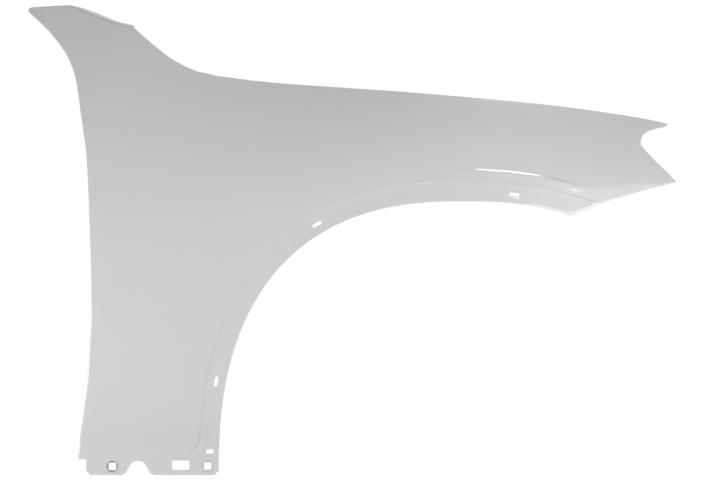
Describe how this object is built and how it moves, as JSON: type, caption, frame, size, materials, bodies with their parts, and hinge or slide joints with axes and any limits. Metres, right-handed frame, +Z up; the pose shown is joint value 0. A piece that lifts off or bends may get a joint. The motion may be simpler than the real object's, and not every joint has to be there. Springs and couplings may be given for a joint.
{
  "type": "car front fender",
  "caption": "Right-hand front body fender pressed from one steel sheet, with a wheel arch, folded edges, a bolt ledge under the hood line and a holed sill flange.",
  "frame": {"origin": "on the inner face of the flat sill flange, between its notch and its long hole", "axes": "+X to the front of the car along the panel's length, +Y inboard to the middle of the car, +Z up"},
  "size_m": [1.1768, 0.1565, 0.851],
  "materials": {
    "grey_paint": "gloss"
  },
  "bodies": {
    "root": {"fender_panel": "grey_paint"}
  },
  "joints": []
}
